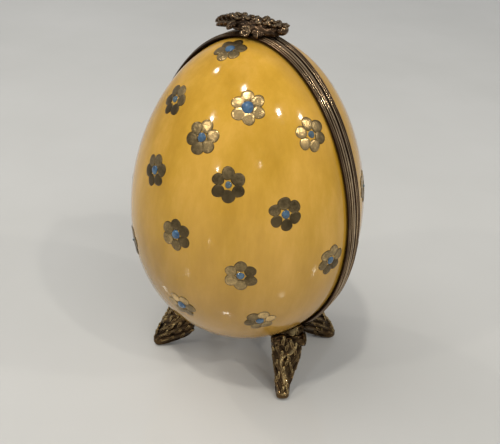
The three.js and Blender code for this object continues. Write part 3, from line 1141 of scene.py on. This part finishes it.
backFlowers = [
    (-69.5, 0.578, 14, 0.5, 90, 0.4),
    (14, 0.969, 8, 0.4, 60, 0.95),
    (-34, 0.83, 20, 0.3, 40, 1.0),
    (0, 0.8, 4, 0.25, 120, 0.9),
    (38, 0.85, 16, 0.45, 150, 1.0),
    (70, 0.76, 10, 0.3, 90, 0.9),
    (-26, 0.66, 24, 0.2, 90, 0.85),
    (17, 0.65, 12, 0.3, 70, 1.0),
    (50, 0.62, 18, 0.2, 110, 0.95),
    (-48, 0.5, 6, 0.25, 90, 1.0),
    (-4, 0.5, 22, 0.3, 90, 0.9),
    (27, 0.45, 2, 0.25, 60, 1.0),
    (72, 0.46, 26, 0.3, 90, 0.9),
    (-66, 0.34, 12, 0.35, 90, 1.0),
    (-22, 0.31, 18, 0.3, 120, 0.95),
    (46, 0.28, 9, 0.4, 60, 1.0),
    (10, 0.17, 15, 0.35, 90, 0.9),
    (-48, 0.14, 21, 0.3, 90, 0.9),
]


# Lays points given in the tangent plane of a flower onto the glaze, standing off by their third value
def layOnGlaze(middle, side, rise, flat):
    across = np.array(middle) + flat[:, :1] * np.array(side) + flat[:, 1:2] * np.array(rise)
    radius = np.hypot(across[:, 0], across[:, 1])
    t, _ = nearestOutline(radius, across[:, 2])
    r, z = outline(t)
    slopeR, slopeZ, length = slopes(t)
    r = r + flat[:, 2] * slopeZ / length
    z = z - flat[:, 2] * slopeR / length
    bearing = np.arctan2(across[:, 1], across[:, 0])
    return around(r, bearing, z)


def roundel(x, y, radius, profile, sides):
    bearing = circle(sides)
    wobble = np.sin(2 * bearing + uniform(0, 6)) + np.sin(3 * bearing + uniform(0, 6))
    uneven = 1 + flower["ragged"] * wobble
    rings = []
    for share, height in profile:
        ring = radius * share * (uneven if share > 0.5 else 1)
        rings.append(around(ring, bearing, height))
    return skin(np.array(rings) + (x, y, 0))


def makeFlowers(name, list_, compass, body):
    foil, drops = Pile(), Pile()
    high = flower["foilHeight"]
    foilProfile = [(1.0, -0.06), (1.0, high * 0.3), (0.91, high * 0.66), (0.85, high)]
    foilProfile += [(0.45, high * 0.86), (0.1, high * 0.9)]
    dropProfile = [(1.0, 0.1), (0.94, 0.34), (0.8, 0.62), (0.6, 0.83), (0.35, 0.96), (0.1, 1.0)]
    for angle, up, turn, shine, paintedLight, size in list_:
        bearing = radians(compass + angle)
        middle, normal = glazePoint(bearing, up)
        side = Vector((-sin(bearing), cos(bearing), 0))
        rise = normal.cross(side)
        for k in range(6):
            at = radians(turn + 60 * k)
            reach = flower["ring"] * uniform(0.95, 1.03)
            radius = flower["disc"] * uniform(0.93, 1.07)
            place = (reach * cos(at), reach * sin(at))
            flat, faces = roundel(*place, radius, foilProfile, flower["discSides"])
            tilt = uniform(-0.02, 0.02)
            flat[:, 2] += np.where(flat[:, 2] > 0, tilt * (flat[:, 0] - place[0]), 0)
            # painted reflection and highlight: the whole flower's foil is made brighter or darker, and
            # brightest on one side
            light = shine + 0.24 * cos(at - radians(paintedLight)) + uniform(-0.06, 0.06)
            worn = np.where(flat[:, 2] < high * 0.72, light * 0.45, light)
            foil.add((layOnGlaze(middle, side, rise, flat), faces), np.clip(worn, 0, 1))
        radius = flower["drop"] * size
        dome = flower["dropHeight"] * (0.8 + 0.2 * size)
        profile = [(1.0, -0.08)] + [(share, dome * rise_) for share, rise_ in dropProfile]
        spot = (uniform(-0.1, 0.1), uniform(-0.1, 0.1))
        flat, faces = roundel(*spot, radius, profile, flower["dropSides"])
        blue = min(1, max(0, (size - 0.6) / 0.5))
        drops.add((layOnGlaze(middle, side, rise, flat), faces), blue)
    foil.place(name + "_foil", "foil", body, "collar_metal")
    drops.place(name + "_drops", "enamel", body, "porcelain")


makeFlowers("front_flower", frontFlowers, -90, "front_half")
makeFlowers("back_flower", backFlowers, 90, "back_half")
print("flowers laid on the glaze")


# Floor
floor = {
    "half": 900.0,
    "steps": 24,
    "tones": ((0.545, 0.545, 0.525), (0.6, 0.6, 0.585)),
    "cloud": (9, 4, 0.55),
    "roughness": 0.08,  # polished, so that it gives the lower half of the glaze its glints
    "sink": 0.00002,
}


def makeFloor():
    steps = floor["steps"]
    grid = np.linspace(-floor["half"], floor["half"], steps)
    points = [(x, y, 0) for y in grid for x in grid]
    corners = [i * steps + j for i in range(steps - 1) for j in range(steps - 1)]
    faces = [(a, a + 1, a + steps + 1, a + steps) for a in corners]
    material, tree, shader, plain = newMaterial("pale_table")
    cloud = noise(tree, plain, *floor["cloud"])
    dark, light = floor["tones"]
    color = ramp(tree, cloud, (0.3, dark), (0.7, light))
    feed(tree, shader, {"Base Color": color, "Roughness": floor["roughness"]})
    piece = makePiece("table_top", points, faces, [material])
    piece.location.z = -floor["sink"]


makeFloor()


# Light
lights = {
    "world": (0.8, 0.82, 0.85),
    "worldStrength": 0.39,
    "lampColor": (1.0, 0.95, 0.86),
}
# Two large soft ones, which show in no reflection: place, size, power, colour
softLights = {
    "soft_light": ((-0.32, -0.2, 0.85), 0.85, 3.1, (1.0, 0.965, 0.91)),
    "fill_light": ((0.75, -0.45, 0.75), 0.6, 3.0, (1.0, 0.97, 0.93)),
}
# Small round lamps over and before the table, which give the glaze its points of light:
# place, width, power
lamps = [
    ((-1.17, -0.16, 1.4), 0.085, 2.0),
    ((0.03, -0.51, 1.4), 0.085, 4.0),
    ((-0.79, -1.55, 1.4), 0.08, 3.5),
    ((1.17, -0.27, 1.4), 0.075, 3.5),
    ((1.84, 0.54, 1.4), 0.085, 4.5),
    ((-0.03, -1.9, 0.62), 0.045, 0.8),
    ((1.25, -1.34, 0.82), 0.03, 0.3),
]


def aimAt(piece, place, target):
    piece.location = place
    piece.rotation_euler = (Vector(target) - Vector(place)).to_track_quat("-Z", "Y").to_euler()


def makeLight(name, place, size, power, color, glossy):
    data = bpy.data.lights.new(name, "AREA")
    data.shape = "DISK"
    data.size = size
    data.energy = power
    data.color = color
    light = bpy.data.objects.new(name, data)
    light.visible_glossy = glossy
    scene.collection.objects.link(light)
    aimAt(light, place, (0, 0, 0.04))


for name, setting in softLights.items():
    makeLight(name, *setting, False)
for number, lamp in enumerate(lamps, 1):
    makeLight(f"lamp_{number}", *lamp, lights["lampColor"], True)

world = bpy.data.worlds.new("pale_room")
scene.world = world
world.use_nodes = True
room = {"Color": lights["world"], "Strength": lights["worldStrength"]}
feed(world.node_tree, world.node_tree.nodes["Background"], room)
scene.view_settings.view_transform = "Standard"


# Camera, at the photo's angle
camera = {
    "target": (0.0, 0.0, 0.0446),
    "distance": 0.1569,
    "azimuth": 31.56,
    "elevation": 28.36,
    "pitch": -2.49,
    "yaw": -0.31,
    "roll": -3.15,
    "lens": 50.4,
    "sensor": 36.0,
}


def makeCamera():
    azimuth = radians(camera["azimuth"])
    elevation = radians(camera["elevation"])
    level = cos(elevation)
    away = Vector((level * sin(azimuth), -level * cos(azimuth), sin(elevation)))
    right = Vector((cos(azimuth), sin(azimuth), 0))
    forward = -away
    up = right.cross(forward)
    pitched = spinBy(radians(camera["pitch"]), right)
    forward, up = pitched @ forward, pitched @ up
    yawed = spinBy(radians(camera["yaw"]), up)
    forward, right = yawed @ forward, yawed @ right
    rolled = spinBy(radians(camera["roll"]), forward)
    right, up = rolled @ right, rolled @ up
    data = bpy.data.cameras.new("portrait")
    data.lens = camera["lens"]
    data.sensor_width = camera["sensor"]
    data.sensor_fit = "HORIZONTAL"
    data.clip_start = 0.005
    shot = bpy.data.objects.new("portrait", data)
    scene.collection.objects.link(shot)
    turned = Matrix((right, up, -forward)).transposed().to_4x4()
    stand = Vector(camera["target"]) + away * camera["distance"]
    shot.matrix_world = Matrix.Translation(stand) @ turned
    scene.camera = shot


makeCamera()
print("stage, light and camera set")
